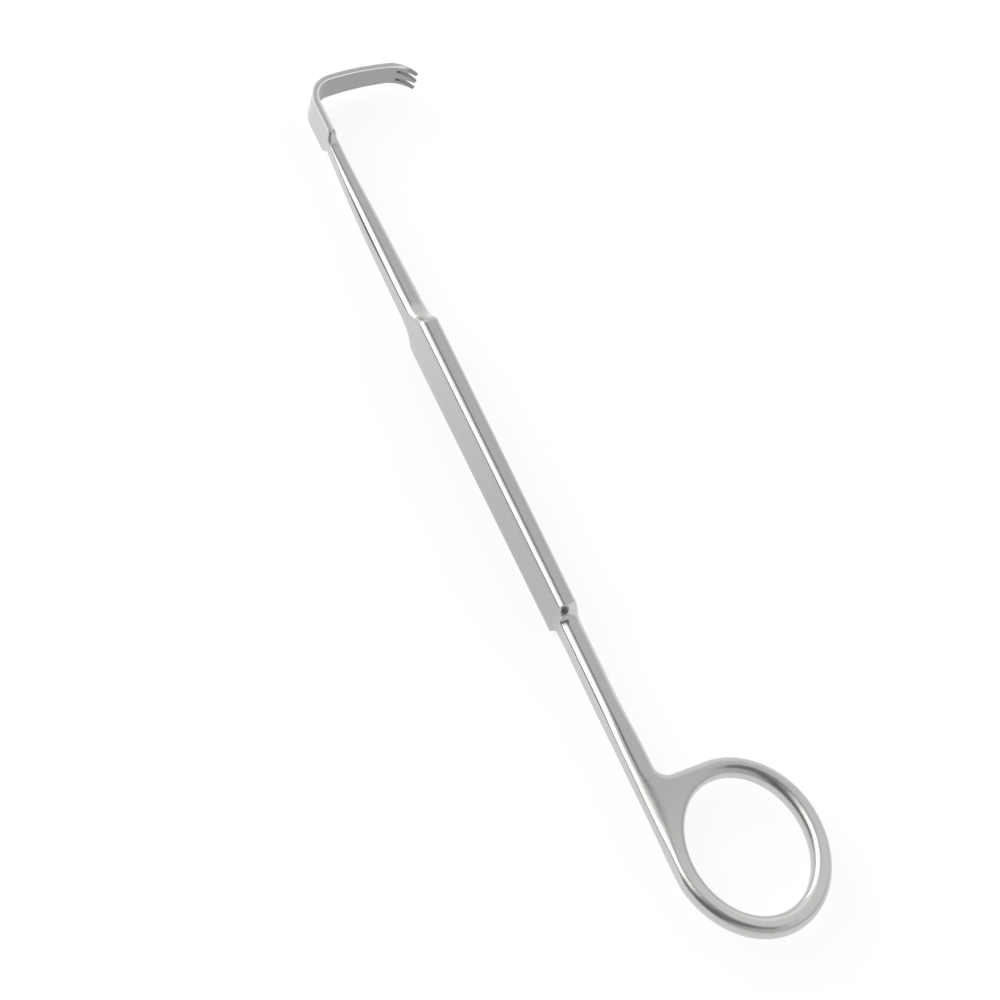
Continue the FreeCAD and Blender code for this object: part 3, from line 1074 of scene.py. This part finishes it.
# %% Roughness and bump of the steel
least_rough = 0.1
rough_strip = on_strip * (1.0 - strip_edges) * strip_depth.ramp(0.03, 0.12)
satin = on_ring * 0.12 + rough_strip * 0.26 + wear_and_highlight * 0.25
plug(tree, shader.inputs["Roughness"], least_rough + streaks * 0.08 + lines * 0.04 + satin)
height = waves * (on_ring * 0.16 + 0.03) + lines * 0.0006 + grain * 0.0003
height = height + streaks * (0.0025 - on_ring * 0.001)
bump = nodes(tree, "ShaderNodeBump", None, {"Strength": 1.0, "Distance": MM, "Height": height})["Normal"]
plug(tree, shader.inputs["Normal"], bump)
print("satin steel has", len(tree.nodes), "nodes")

# %% [markdown]
# ## Floor, light and camera
#
# The picture is a plain packshot: a white table, a big soft light over the back of the
# instrument, and a grey wall on the other side that the polished sides mirror. Polished steel
# shows its surroundings more than itself, so the light is drawn on the sky round the scene and
# not made of lamps: one ramp sets each edge of a panel, and so each edge of its mirror image.
# The table glows by itself, so it comes out white whatever light the steel gets.

# %% Floor
floor_half = 2.5
floor_glow = 0.85
signs = ((-1.0, -1.0), (1.0, -1.0), (1.0, 1.0), (-1.0, 1.0))
floor_corners = [(across * floor_half, along * floor_half, 0.0) for across, along in signs]
floor_mesh = bpy.data.meshes.new("floor")
floor_mesh.from_pydata(floor_corners, [], [(0, 1, 2, 3)])
floor = bpy.data.objects.new("floor", floor_mesh)
bpy.context.scene.collection.objects.link(floor)
floor_paint = bpy.data.materials.new("floor_paint")
floor_paint.use_nodes = True
floor_shader = floor_paint.node_tree.nodes["Principled BSDF"]
floor_shader.inputs["Base Color"].default_value = (0.2, 0.2, 0.2, 1.0)
floor_shader.inputs["Emission Color"].default_value = (1.0, 1.0, 1.0, 1.0)
floor_shader.inputs["Emission Strength"].default_value = floor_glow
floor_shader.inputs["Roughness"].default_value = 0.9
floor_shader.inputs["Specular IOR Level"].default_value = 0.0
floor_mesh.materials.append(floor_paint)
print("floor is", 2.0 * floor_half, "m wide")

# %% Studio light as a surround
world = bpy.data.worlds.new("studio")
bpy.context.scene.world = world
world.use_nodes = True
tree = world.node_tree
backdrop = tree.nodes["Background"]
sky = nodes(tree, "ShaderNodeSeparateXYZ", None, {"Vector": nodes(tree, "ShaderNodeTexCoord")["Generated"]})
# roll is 0 overhead, -90 at the horizon on the back's side and +90 on the hook's side.
# ahead is the hook's end of the sky, behind is its other half, and far the end beyond the ring.
roll = sky["X"].maths("ARCTAN2", sky["Y"], sky["Z"]) * (180.0 / math.pi)
ahead = 1.0 - sky["X"].ramp(-0.62, -0.45)
behind = sky["X"].ramp(-0.22, 0.05)
off_ground = roll.ramp(-98.0, -84.0)
panel = roll.ramp(-63.0, -57.0) * (1.0 - roll.ramp(-22.0, -19.0)) * (1.0 - behind)
room = 1.0 - (1.0 - (roll - behind * 11.0).ramp(-1.0, 5.0)) * (1.0 - ahead * off_ground)
streak = roll.ramp(-24.0, -18.0) * (1.0 - roll.ramp(-9.0, -4.0)) * (1.0 - ahead) * (1.0 - behind)
far = sky["X"].ramp(0.45, 0.72) * off_ground
light = 0.15 + panel * 2.0 + streak * 0.75 + room * 0.57 + ahead * room * 0.2
light = light + far * 0.5 * (1.0 - room) * (1.0 - streak)
plug(tree, backdrop.inputs["Strength"], light)
backdrop.inputs["Color"].default_value = (1.0, 1.0, 0.99, 1.0)
print("the surround has", len(tree.nodes), "nodes")

# %% Camera
camera_data = bpy.data.cameras.new("camera")
camera_data.sensor_width = 36.0
camera_data.lens = 180.0
camera = bpy.data.objects.new("camera", camera_data)
bpy.context.scene.collection.objects.link(camera)
camera_right = Vector((0.41672632, 0.89618434, 0.15229183))
camera_up = Vector((-0.84525248, 0.3203649, 0.42768513))
camera_back = Vector((0.33449577, -0.30695269, 0.89100652))
camera_place = Vector((0.28812818, -0.27884354, 0.77914317))
turn = Matrix((camera_right, camera_up, camera_back)).transposed().to_4x4()
camera.matrix_world = Matrix.Translation(camera_place) @ turn
bpy.context.scene.camera = camera
bpy.context.scene.view_settings.view_transform = "Standard"
print("camera elevation", round(math.degrees(math.asin(camera_back.z)), 1), "degrees")
